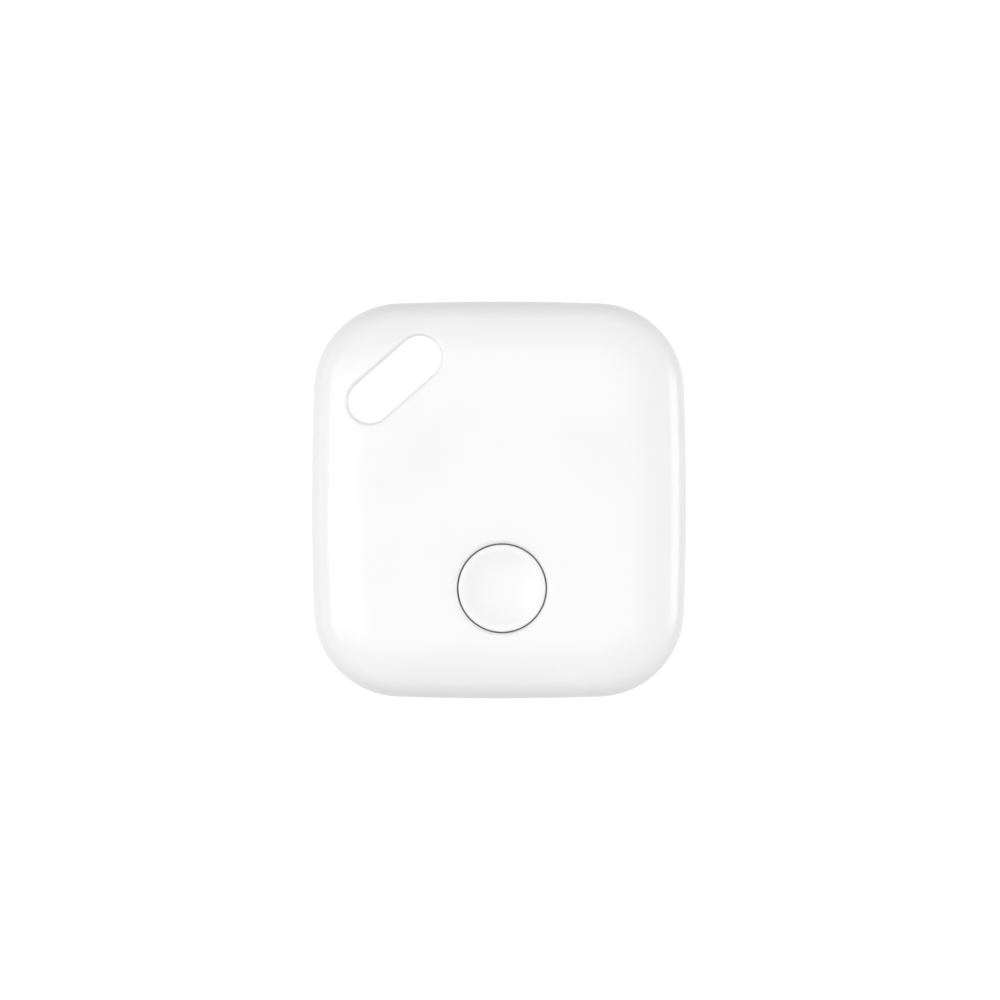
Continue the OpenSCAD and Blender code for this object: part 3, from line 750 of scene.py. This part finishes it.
class Nodes:
    """Short forms for wiring one material's nodes."""

    def __init__(self, mat):
        self.tree = mat.node_tree
        self.shader = self.tree.nodes["Principled BSDF"]
        self.place = self.tree.nodes.new("ShaderNodeTexCoord").outputs["Object"]

    def link(self, a, b):
        self.tree.links.new(a, b)

    def math(self, operation, *values):
        """One sum, on numbers or node outputs."""
        return add_math(self.tree, operation, *values)

    def noise(self, size, detail, stretch=(1, 1, 1)):
        """Noise whose lumps are about this many millimetres across."""
        mapping = self.tree.nodes.new("ShaderNodeMapping")
        mapping.inputs["Scale"].default_value = [s / (size * MM) for s in stretch]
        node = self.tree.nodes.new("ShaderNodeTexNoise")
        node.inputs["Scale"].default_value = 1.0
        node.inputs["Detail"].default_value = detail
        node.inputs["Roughness"].default_value = 0.5
        self.link(self.place, mapping.inputs["Vector"])
        self.link(mapping.outputs["Vector"], node.inputs["Vector"])
        return node.outputs["Fac"]

    def cells(self, size):
        """A cell pattern, each cell about this many millimetres across."""
        node = self.tree.nodes.new("ShaderNodeTexVoronoi")
        node.feature = "F1"
        node.inputs["Scale"].default_value = 1 / (size * MM)
        self.link(self.place, node.inputs["Vector"])
        return node.outputs["Distance"]

    def spread(self, value, low, high):
        """Maps the usual values of a pattern to a range."""
        node = self.tree.nodes.new("ShaderNodeMapRange")
        node.inputs["From Min"].default_value = PATTERN_LOW
        node.inputs["From Max"].default_value = PATTERN_HIGH
        node.inputs["To Min"].default_value = low
        node.inputs["To Max"].default_value = high
        self.link(value, node.inputs["Value"])
        return node.outputs["Result"]

    def tint(self, value, dark, light):
        """Colours a pattern from one tone to another."""
        ramp = self.tree.nodes.new("ShaderNodeValToRGB")
        ramp.color_ramp.elements[0].position = PATTERN_LOW
        ramp.color_ramp.elements[0].color = (*dark, 1)
        ramp.color_ramp.elements[1].position = PATTERN_HIGH
        ramp.color_ramp.elements[1].color = (*light, 1)
        self.link(value, ramp.inputs["Fac"])
        self.link(ramp.outputs["Color"], self.shader.inputs["Base Color"])

    def gloss(self, value, low, high):
        self.link(self.spread(value, low, high), self.shader.inputs["Roughness"])

    def bump(self, value, depth):
        """Raises a pattern by a depth in millimetres. Each call adds to the last."""
        node = self.tree.nodes.new("ShaderNodeBump")
        node.inputs["Distance"].default_value = depth * MM
        node.inputs["Strength"].default_value = 1.0
        self.link(value, node.inputs["Height"])
        before = self.shader.inputs["Normal"]
        if before.is_linked:
            self.link(before.links[0].from_socket, node.inputs["Normal"])
        self.link(node.outputs["Normal"], before)


def shell_white():
    """White moulded plastic: a faint cloudiness, a satin gloss and a very fine grain."""
    mat = new_material("shell_white", (0.9, 0.905, 0.9), 0.3, IOR=1.49, Coat_Weight=0.25,
                       Coat_Roughness=0.12)
    n = Nodes(mat)
    n.tint(n.noise(9.0, 3), (0.885, 0.892, 0.887), (0.915, 0.918, 0.914))
    n.gloss(n.noise(1.5, 3), 0.28, 0.34)
    n.bump(n.noise(0.6, 1), 0.0004)
    n.bump(n.noise(7.0, 1), 0.006)
    return mat


def silicone():
    """Milky silicone rubber with a powdery skin."""
    mat = new_material("silicone", (0.62, 0.64, 0.63), 0.6, Subsurface_Weight=0.3, Subsurface_Scale=0.001,
                       Sheen_Weight=0.2)
    n = Nodes(mat)
    n.tint(n.noise(1.4, 4), (0.58, 0.6, 0.59), (0.7, 0.71, 0.7))
    n.gloss(n.noise(0.3, 3), 0.5, 0.72)
    n.bump(n.noise(0.12, 3), 0.004)
    return mat


def seal_rubber():
    mat = new_material("seal_rubber", (0.02, 0.02, 0.022), 0.55)
    n = Nodes(mat)
    n.tint(n.noise(0.9, 4), (0.014, 0.014, 0.015), (0.035, 0.035, 0.037))
    n.gloss(n.noise(0.25, 3), 0.42, 0.68)
    n.bump(n.noise(0.08, 3), 0.004)
    return mat


def black_plastic():
    """Black glass-filled plastic with a spark-eroded grain."""
    mat = new_material("black_plastic", (0.02, 0.02, 0.022), 0.5)
    n = Nodes(mat)
    n.tint(n.noise(0.5, 5), (0.013, 0.013, 0.014), (0.032, 0.032, 0.034))
    n.gloss(n.noise(0.2, 3), 0.4, 0.62)
    n.bump(n.cells(0.09), 0.006)
    return mat


def board_green():
    """Solder mask over a glass weave: the weave and buried tracks show as faint relief."""
    mat = new_material("board_green", (0.01, 0.09, 0.04), 0.25, Coat_Weight=0.5, Coat_Roughness=0.08)
    n = Nodes(mat)
    n.tint(n.noise(3.5, 6, (1, 2.2, 1)), (0.006, 0.06, 0.028), (0.014, 0.13, 0.058))
    n.gloss(n.noise(1.2, 4), 0.18, 0.34)
    for direction in ("X", "Y"):
        n.bump(weave(n, direction), 0.004)
    return mat


def weave(n, direction):
    """Fine parallel threads."""
    node = n.tree.nodes.new("ShaderNodeTexWave")
    node.bands_direction = direction
    node.inputs["Scale"].default_value = WEAVE_SCALE
    node.inputs["Distortion"].default_value = 1.5
    n.link(n.place, node.inputs["Vector"])
    return node.outputs["Fac"]


def metal(name, dark, light, roughness, grain, stretch=(1, 1, 1), depth=0.003):
    """Metal with fine brushed or rolled grain and patchy brightness."""
    mat = new_material(name, light, roughness, 1.0)
    n = Nodes(mat)
    n.tint(n.noise(2.2, 5), dark, light)
    n.gloss(n.noise(grain, 4, stretch), roughness - 0.08, roughness + 0.12)
    n.bump(n.noise(grain, 3, stretch), depth)
    return mat


def chip_epoxy():
    """Black moulding compound, slightly speckled."""
    mat = new_material("chip_epoxy", (0.018, 0.018, 0.02), 0.55)
    n = Nodes(mat)
    n.tint(n.noise(0.12, 6), (0.01, 0.01, 0.011), (0.036, 0.036, 0.039))
    n.gloss(n.noise(0.4, 3), 0.45, 0.65)
    n.bump(n.noise(0.07, 4), 0.004)
    return mat


def ceramic(name, dark, light, roughness, grain=0.15):
    """Fired ceramic: fine mottling and small pits."""
    mat = new_material(name, light, roughness)
    n = Nodes(mat)
    n.tint(n.noise(grain * 2, 6), dark, light)
    n.gloss(n.noise(grain, 3), roughness - 0.08, roughness + 0.1)
    n.bump(n.cells(grain), 0.003)
    return mat


def adhesive_foam():
    """Black foam tape with open cells."""
    mat = new_material("adhesive_foam", (0.02, 0.02, 0.02), 0.85)
    n = Nodes(mat)
    n.tint(n.cells(0.12), (0.008, 0.008, 0.008), (0.04, 0.04, 0.04))
    n.gloss(n.noise(0.2, 2), 0.75, 0.95)
    n.bump(n.cells(0.12), 0.03)
    return mat


def film_amber():
    """Amber polyimide film with faint creases."""
    mat = new_material("film_amber", (0.45, 0.2, 0.03), 0.22, Transmission_Weight=0.35, IOR=1.7)
    n = Nodes(mat)
    n.tint(n.noise(2.5, 4), (0.38, 0.16, 0.02), (0.52, 0.25, 0.045))
    n.gloss(n.noise(0.8, 4), 0.16, 0.32)
    n.bump(n.noise(1.8, 2, (1, 3, 1)), 0.01)
    return mat


def nylon():
    mat = new_material("nylon", (0.72, 0.72, 0.68), 0.42, Subsurface_Weight=0.2, Subsurface_Scale=0.0006)
    n = Nodes(mat)
    n.tint(n.noise(1.0, 4), (0.68, 0.68, 0.64), (0.78, 0.78, 0.75))
    n.gloss(n.noise(0.3, 3), 0.35, 0.5)
    n.bump(n.noise(0.15, 3), 0.003)
    return mat


SLOT_MATERIALS = {
    "shell_white": shell_white(),
    "silicone": silicone(),
    "seal_rubber": seal_rubber(),
    "black_plastic": black_plastic(),
    "board_green": board_green(),
    "gold_plate": metal("gold_plate", (0.72, 0.5, 0.2), (0.9, 0.68, 0.32), 0.24, 0.2),
    "brass": metal("brass", (0.6, 0.42, 0.16), (0.78, 0.58, 0.26), 0.3, 0.25, (1, 14, 1)),
    "steel": metal("steel", (0.5, 0.5, 0.51), (0.68, 0.68, 0.69), 0.28, 0.3, (1, 16, 1)),
    "tin": metal("tin", (0.6, 0.6, 0.61), (0.8, 0.8, 0.81), 0.3, 0.12),
    "chip_epoxy": chip_epoxy(),
    "ferrite": ceramic("ferrite", (0.02, 0.02, 0.023), (0.07, 0.07, 0.075), 0.6),
    "capacitor_ceramic": ceramic("capacitor_ceramic", (0.2, 0.13, 0.07), (0.34, 0.23, 0.13), 0.5),
    "piezo_white": ceramic("piezo_white", (0.62, 0.58, 0.48), (0.75, 0.71, 0.6), 0.6),
    "adhesive_foam": adhesive_foam(),
    "film_amber": film_amber(),
    "nylon": nylon(),
    "cell_mass": ceramic("cell_mass", (0.01, 0.01, 0.011), (0.04, 0.04, 0.042), 0.85, 0.2),
}


def dress(piece, slot):
    piece.data.materials.clear()
    piece.data.materials.append(SLOT_MATERIALS[slot])


# ---------------------------------------------------------------- assembly

for part in frame["record"]["subparts"]:
    dress(frame["nodes"][part["node"]], part["material_slot"])

for make, nodes, body in (
    (make_front_cover, ("front_cover", "front_loop"), "casing"),
    (make_rear_cover, ("rear_cover", "rear_loop"), "casing"),
    (make_battery_door, ("battery_door",), "door"),
    (make_button_cap, ("button_cap",), "button"),
):
    piece = make()
    dress(piece, "shell_white")
    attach(piece, body)
    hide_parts(*nodes)

# Each row: the maker of the finer mesh, the CAD node it replaces, its material slot, a height that stays
# with the casing and one that moves with the button. The two heights are not used.
for make, node, slot, fixed_z, moving_z in (
    (make_membrane, "button_membrane", "silicone", 6.62, 6.5),
    (make_switch_dome, "switch_dome", "steel", 5.78, 6.08),
):
    piece = make()
    dress(piece, slot)
    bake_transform(piece)
    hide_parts(node)


# ---------------------------------------------------------------- floor, light and camera

FLOOR_DIMMING = 0.7       # share of the floor's glow that is lost at the lowest angle
SURROUND = 0.63           # brightness of the surround overhead, where the floor is 1
SURROUND_LEAN = 0.3       # how much brighter it is at the left horizon, and darker at the right
SURROUND_SIDES = 0.42     # how much brighter it is at both sides, and darker at both ends


def make_floor():
    """A round light table, sized in metres: white from above and dimmer at a low angle."""
    radius, sides = 4.0, 64
    mesh = bpy.data.meshes.new("floor")
    mesh.from_pydata([(x, y, 0) for x, y in circle_ring((0, 0), radius, sides)], [], [tuple(range(sides))])
    floor = bpy.data.objects.new("floor", mesh)
    bpy.context.scene.collection.objects.link(floor)
    mat = new_material("floor_white", (0.15, 0.15, 0.15), 0.9, Specular_IOR_Level=0.0,
                       Emission_Color=(1, 1, 1, 1))
    n = Nodes(mat)
    weight = n.tree.nodes.new("ShaderNodeLayerWeight")
    weight.inputs["Blend"].default_value = 0.5
    glow = n.math("SUBTRACT", 1.0, n.math("MULTIPLY", weight.outputs["Facing"], FLOOR_DIMMING))
    n.link(glow, n.shader.inputs["Emission Strength"])
    mesh.materials.append(mat)


def softbox(name, place, target, size, radiance):
    """A rectangular light of a given brightness. Sizes and places are in metres."""
    data = bpy.data.lights.new(name, "AREA")
    data.shape = "RECTANGLE"
    data.size, data.size_y = size
    data.energy = radiance * math.pi * size[0] * size[1]
    lamp = bpy.data.objects.new(name, data)
    lamp.location = place
    lamp.rotation_euler = (Vector(target) - lamp.location).to_track_quat("-Z", "Y").to_euler()
    bpy.context.scene.collection.objects.link(lamp)


def make_world():
    """A pale surround, brighter on the left than on the right, and darker beyond both ends."""
    world = bpy.data.worlds.new("surround")
    world.use_nodes = True
    tree = world.node_tree
    back = tree.nodes["Background"]
    back.inputs["Color"].default_value = (1, 1, 1, 1)
    direction = tree.nodes.new("ShaderNodeTexCoord").outputs["Generated"]
    parts = tree.nodes.new("ShaderNodeSeparateXYZ")
    tree.links.new(direction, parts.inputs[0])
    x, y = parts.outputs["X"], parts.outputs["Y"]
    beside = add_math(tree, "SUBTRACT", add_math(tree, "MULTIPLY", x, x), add_math(tree, "MULTIPLY", y, y))
    level = add_math(tree, "MULTIPLY_ADD", x, -SURROUND_LEAN, SURROUND)
    level = add_math(tree, "MULTIPLY_ADD", beside, SURROUND_SIDES, level)
    tree.links.new(level, back.inputs["Strength"])
    bpy.context.scene.world = world


def make_camera():
    """A long lens straight above the front face."""
    lens, sensor = 600.0, 36.0
    view_w = 98.7         # the view's width at the height where the edge rounding begins
    centre_x = 0.1
    data = bpy.data.cameras.new("camera")
    data.lens, data.sensor_width = lens, sensor
    data.clip_start, data.clip_end = 0.01, 10.0
    camera = bpy.data.objects.new("camera", data)
    camera.location = Vector((centre_x, 0.0, EDGE_Z + view_w * lens / sensor)) * MM
    bpy.context.scene.collection.objects.link(camera)
    bpy.context.scene.camera = camera


make_floor()
softbox("key", (-0.31, 0.0, 0.69), (0.0, 0.0, 0.0), (0.3, 0.36), 3.2)
softbox("overhead", (0.0, 0.0, 1.8), (0.0, 0.0, 0.0), (0.78, 0.78), 1.8)
softbox("rim", (0.45, 0.0, 0.185), (0.0, 0.0, 0.005), (0.23, 0.36), 2.7)
make_world()
make_camera()
bpy.context.scene.view_settings.view_transform = "Standard"
